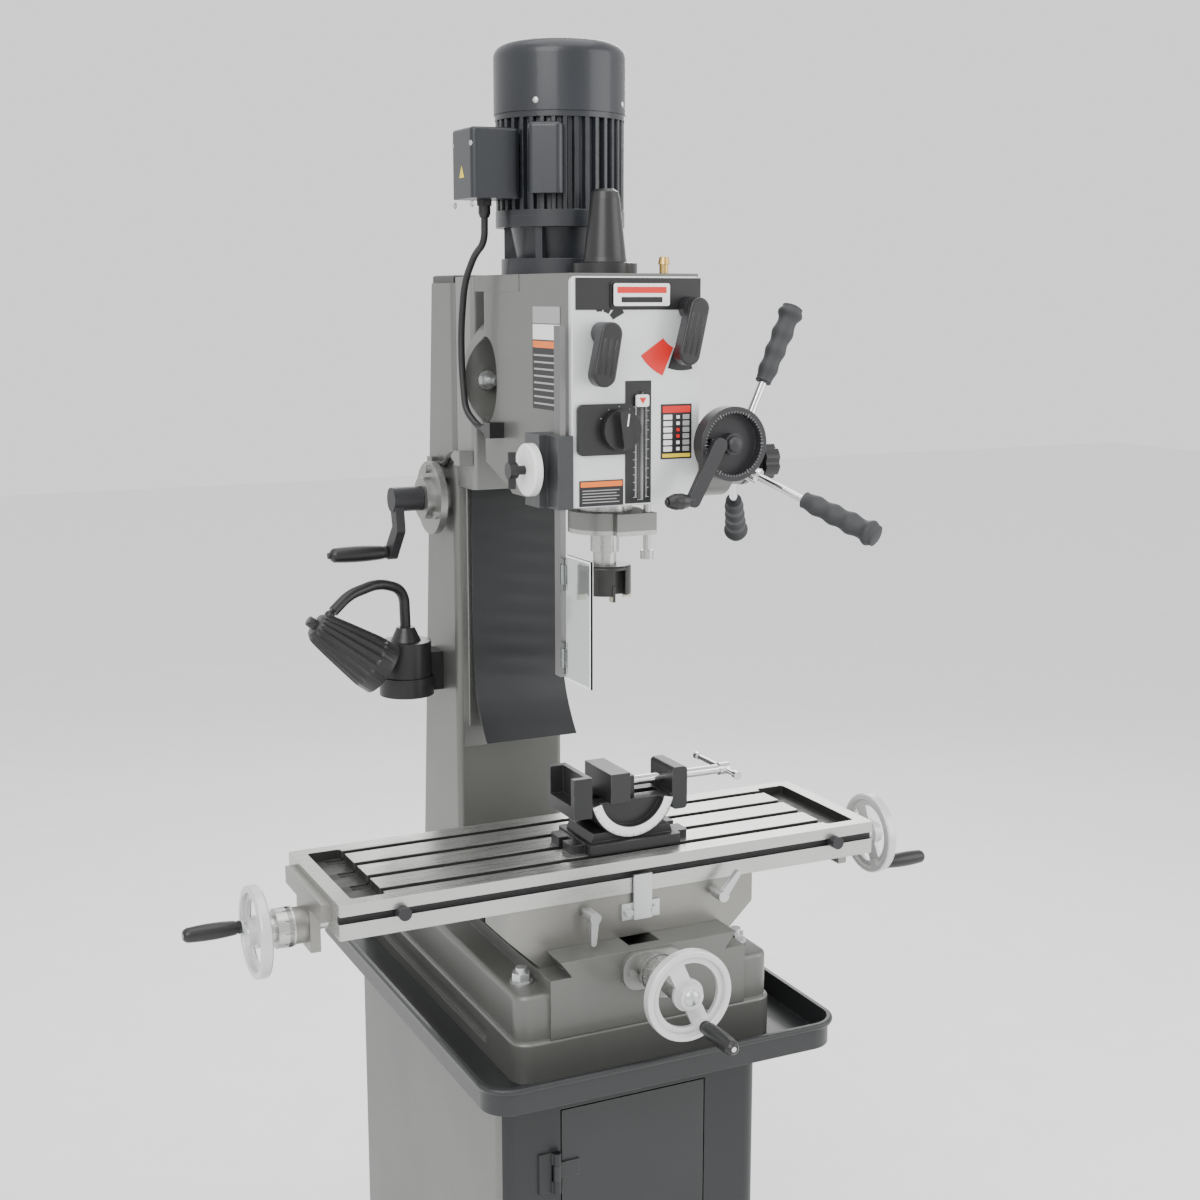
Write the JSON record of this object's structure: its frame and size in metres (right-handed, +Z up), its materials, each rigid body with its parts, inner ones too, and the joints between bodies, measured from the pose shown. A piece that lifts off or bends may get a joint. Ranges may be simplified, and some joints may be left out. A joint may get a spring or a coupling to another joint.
{
  "type": "milling machine",
  "caption": "Vertical geared-head milling and drilling machine on a cabinet stand: compound table with handwheels, tilting head with motor and quill feed, vise, lamp and chip guard.",
  "frame": {"origin": "on the floor, at the centre of the stand's foot", "axes": "+Z up, -Y is the operator's side with the door and head front, +X is the operator's right"},
  "size_m": [1.151, 0.9015, 2.149],
  "materials": {
    "machine_grey": "satin",
    "stand_grey": "satin",
    "black_paint": "semi-gloss",
    "panel_silver": "satin",
    "ground_steel": "ground",
    "steel": "turned",
    "chrome": "polished",
    "brass": "cast",
    "wheel_grey": "satin",
    "black_plastic": "moulded",
    "white_plastic": "moulded",
    "cable": "matt",
    "way_rubber": "matt",
    "carbide": "ground",
    "clear_plastic": "clear"
  },
  "bodies": {
    "stand": {"stand_cabinet": "stand_grey", "chip_tray": "black_paint", "base_casting": "machine_grey", "base_studs": "steel", "column": "machine_grey", "way_cover": "way_rubber", "screw_brackets": "black_paint", "lamp_bracket": "black_plastic", "supply_lead": "cable"},
    "door": {"stand_door": "stand_grey"},
    "saddle": {"saddle": "ground_steel", "saddle_fittings": "black_paint"},
    "table": {"table": "ground_steel", "end_brackets": "machine_grey", "vise_base": "black_paint"},
    "x_screw": {"x_screw": "steel", "x_handwheels": "wheel_grey"},
    "y_screw": {"y_screw": "steel", "y_wheel": "wheel_grey"},
    "slide": {"head_carriage": "machine_grey"},
    "head": {"head_housing": "machine_grey", "head_fittings": "black_plastic", "head_panel": "panel_silver", "panel_plates": "black_plastic", "motor_body": "black_paint", "motor_covers": "black_paint", "motor_lead": "cable", "guard_bracket": "black_paint"},
    "quill": {"quill": "steel"},
    "spindle": {"spindle": "steel", "face_mill": "steel"},
    "x_grip_left": {"x_grip_left": "black_plastic"},
    "x_grip_right": {"x_grip_right": "black_plastic"},
    "y_grip": {"y_grip": "black_plastic"},
    "z_crank": {"z_crank": "machine_grey"},
    "z_crank_grip": {"z_crank_grip": "black_plastic"},
    "z_screw": {"z_screw": "steel"},
    "table_lock_left": {"table_lock_left": "black_paint"},
    "table_lock_right": {"table_lock_right": "black_paint"},
    "table_stop_left": {"table_stop_left": "steel"},
    "table_stop_right": {"table_stop_right": "steel"},
    "switch_knob": {"switch_knob": "black_plastic"},
    "gear_lever_left": {"gear_lever_left": "black_plastic"},
    "gear_lever_right": {"gear_lever_right": "black_plastic"},
    "spindle_gear": {"spindle_gear": "steel"},
    "idler_gear": {"idler_gear": "steel"},
    "motor_rotor": {"motor_rotor": "steel"},
    "drawbar_cover": {"drawbar_cover": "black_plastic"},
    "feed_hub": {"feed_hub": "chrome"},
    "clutch_knob": {"clutch_knob": "black_plastic"},
    "fine_feed_wheel": {"fine_feed_wheel": "black_paint"},
    "fine_feed_grip": {"fine_feed_grip": "black_plastic"},
    "guard_knob": {"guard_knob": "black_plastic"},
    "guard_rail": {"guard_rail": "steel"},
    "guard_shield": {"guard_shield": "clear_plastic"},
    "lamp_arm": {"lamp_arm": "black_plastic"},
    "lamp_head": {"lamp_head": "black_plastic"},
    "vise_body": {"vise_body": "black_paint"},
    "vise_jaw": {"vise_jaw": "steel"},
    "vise_screw": {"vise_screw": "steel"}
  },
  "joints": [
    {"name": "door_hinge", "type": "hinge", "parent": "stand", "child": "door", "pos_m": [-0.123, -0.316, 0.38], "axis": [0, 0, -1], "range_deg": [0, 110]},
    {"name": "saddle_slide", "type": "slide", "parent": "stand", "child": "saddle", "axis": [0, 1, 0], "range_m": [-0.1, 0.1]},
    {"name": "table_slide", "type": "slide", "parent": "saddle", "child": "table", "axis": [1, 0, 0], "range_m": [-0.246, 0.274]},
    {"name": "x_screw_spin", "type": "hinge", "parent": "table", "child": "x_screw", "pos_m": [-0.014, -0.19, 0.974], "axis": [1, 0, 0], "continuous": true},
    {"name": "x_grip_left_spin", "type": "hinge", "parent": "x_screw", "child": "x_grip_left", "pos_m": [-0.55, -0.14076, 0.96532], "axis": [1, 0, 0], "continuous": true},
    {"name": "x_grip_right_spin", "type": "hinge", "parent": "x_screw", "child": "x_grip_right", "pos_m": [0.522, -0.21347, 0.92985], "axis": [1, 0, 0], "continuous": true},
    {"name": "y_screw_spin", "type": "hinge", "parent": "stand", "child": "y_screw", "pos_m": [0, -0.3, 0.898], "axis": [0, 1, 0], "continuous": true},
    {"name": "y_grip_spin", "type": "hinge", "parent": "y_screw", "child": "y_grip", "pos_m": [0.02113, -0.512, 0.85269], "axis": [0, 1, 0], "continuous": true},
    {"name": "head_slide", "type": "slide", "parent": "stand", "child": "slide", "axis": [0, 0, 1], "range_m": [-0.21, 0], "deforming": ["way_cover", "supply_lead"]},
    {"name": "z_crank_spin", "type": "hinge", "parent": "stand", "child": "z_crank", "pos_m": [-0.168, 0.18, 1.494], "axis": [1, 0, 0], "continuous": true},
    {"name": "z_crank_grip_spin", "type": "hinge", "parent": "z_crank", "child": "z_crank_grip", "pos_m": [-0.222, 0.20781, 1.4084], "axis": [1, 0, 0], "continuous": true},
    {"name": "z_screw_spin", "type": "hinge", "parent": "stand", "child": "z_screw", "pos_m": [0, 0.18, 1.4], "axis": [0, 0, 1], "continuous": true},
    {"name": "head_tilt", "type": "hinge", "parent": "slide", "child": "head", "pos_m": [0, 0.038, 1.683], "axis": [0, 1, 0], "range_deg": [-90, 90]},
    {"name": "quill_slide", "type": "slide", "parent": "head", "child": "quill", "axis": [0, 0, -1], "range_m": [0, 0.127]},
    {"name": "feed_hub_turn", "type": "hinge", "parent": "head", "child": "feed_hub", "pos_m": [0.171, -0.264, 1.576], "axis": [-1, 0, 0], "range_deg": [0, 582.13]},
    {"name": "clutch_knob_turn", "type": "hinge", "parent": "feed_hub", "child": "clutch_knob", "pos_m": [0.225, -0.264, 1.576], "axis": [1, 0, 0], "range_deg": [-90, 90]},
    {"name": "spindle_spin", "type": "hinge", "parent": "quill", "child": "spindle", "pos_m": [0, -0.214, 1.6], "axis": [0, 0, 1], "continuous": true},
    {"name": "spindle_gear_spin", "type": "hinge", "parent": "head", "child": "spindle_gear", "pos_m": [0, -0.214, 1.771], "axis": [0, 0, 1], "continuous": true},
    {"name": "idler_gear_spin", "type": "hinge", "parent": "head", "child": "idler_gear", "pos_m": [0, -0.118, 1.771], "axis": [0, 0, 1], "continuous": true},
    {"name": "motor_rotor_spin", "type": "hinge", "parent": "head", "child": "motor_rotor", "pos_m": [0, -0.068, 1.9], "axis": [0, 0, 1], "continuous": true},
    {"name": "fine_feed_spin", "type": "hinge", "parent": "head", "child": "fine_feed_wheel", "pos_m": [0.125, -0.34, 1.61], "axis": [0, 1, 0], "continuous": true},
    {"name": "fine_feed_grip_spin", "type": "hinge", "parent": "fine_feed_wheel", "child": "fine_feed_grip", "pos_m": [0.04, -0.358, 1.538], "axis": [1, 0, 0], "continuous": true},
    {"name": "switch_knob_turn", "type": "hinge", "parent": "head", "child": "switch_knob", "pos_m": [-0.029, -0.33, 1.632], "axis": [0, 1, 0], "range_deg": [-60, 60]},
    {"name": "gear_lever_left_turn", "type": "hinge", "parent": "head", "child": "gear_lever_left", "pos_m": [-0.053, -0.33, 1.757], "axis": [0, -1, 0], "range_deg": [0, 60]},
    {"name": "gear_lever_right_turn", "type": "hinge", "parent": "head", "child": "gear_lever_right", "pos_m": [0.075, -0.33, 1.789], "axis": [0, 1, 0], "range_deg": [0, 45]},
    {"name": "drawbar_cover_lift", "type": "slide", "parent": "head", "child": "drawbar_cover", "axis": [0, 0, 1], "range_m": [0, 0.12]},
    {"name": "guard_knob_turn", "type": "hinge", "parent": "head", "child": "guard_knob", "pos_m": [-0.16, -0.262, 1.579], "axis": [1, 0, 0], "range_deg": [-180, 180]},
    {"name": "guard_rail_slide", "type": "slide", "parent": "head", "child": "guard_rail", "axis": [0, 0, 1], "range_m": [-0.1, 0.055]},
    {"name": "guard_shield_swing", "type": "hinge", "parent": "guard_rail", "child": "guard_shield", "pos_m": [-0.107, -0.315, 1.38], "axis": [0, 0, 1], "range_deg": [-60, 90]},
    {"name": "lamp_arm_swing", "type": "hinge", "parent": "stand", "child": "lamp_arm", "pos_m": [-0.154, 0.19, 1.24], "axis": [0, 0, 1], "range_deg": [-60, 20]},
    {"name": "lamp_head_tip", "type": "hinge", "parent": "lamp_arm", "child": "lamp_head", "pos_m": [-0.29048, 0.14491, 1.32691], "axis": [0, 1, 0], "range_deg": [-5, 25]},
    {"name": "table_lock_left_turn", "type": "hinge", "parent": "saddle", "child": "table_lock_left", "pos_m": [-0.075, -0.325, 0.973], "axis": [0, 1, 0], "range_deg": [-40, 40]},
    {"name": "table_lock_right_turn", "type": "hinge", "parent": "saddle", "child": "table_lock_right", "pos_m": [0.125, -0.325, 0.973], "axis": [0, 1, 0], "range_deg": [-40, 40]},
    {"name": "table_stop_left_slide", "type": "slide", "parent": "table", "child": "table_stop_left", "axis": [1, 0, 0], "range_m": [-0.04, 0.04]},
    {"name": "table_stop_right_slide", "type": "slide", "parent": "table", "child": "table_stop_right", "axis": [1, 0, 0], "range_m": [-0.04, 0.04]},
    {"name": "vise_tilt", "type": "hinge", "parent": "table", "child": "vise_body", "pos_m": [0.02, -0.22, 1.119], "axis": [0, -1, 0], "range_deg": [0, 20]},
    {"name": "vise_jaw_slide", "type": "slide", "parent": "vise_body", "child": "vise_jaw", "axis": [1, 0, 0], "range_m": [-0.029, 0.045]},
    {"name": "vise_screw_spin", "type": "hinge", "parent": "vise_jaw", "child": "vise_screw", "pos_m": [0.1, -0.22, 1.121], "axis": [1, 0, 0], "continuous": true}
  ],
  "couplings": [
    {"joint": "x_screw_spin", "follows": "table_slide", "rad_per_m": 1256.6},
    {"joint": "y_screw_spin", "follows": "saddle_slide", "rad_per_m": 1256.6},
    {"joint": "z_crank_spin", "follows": "head_slide", "rad_per_m": 1256.6},
    {"joint": "z_screw_spin", "follows": "head_slide", "rad_per_m": 1256.6},
    {"joint": "feed_hub_turn", "follows": "quill_slide", "rad_per_m": 80},
    {"joint": "spindle_gear_spin", "follows": "spindle_spin", "ratio": 1},
    {"joint": "idler_gear_spin", "follows": "spindle_spin", "ratio": -2.2},
    {"joint": "motor_rotor_spin", "follows": "spindle_spin", "ratio": 3.3},
    {"joint": "vise_screw_spin", "follows": "vise_jaw_slide", "rad_per_m": 1570.8}
  ]
}
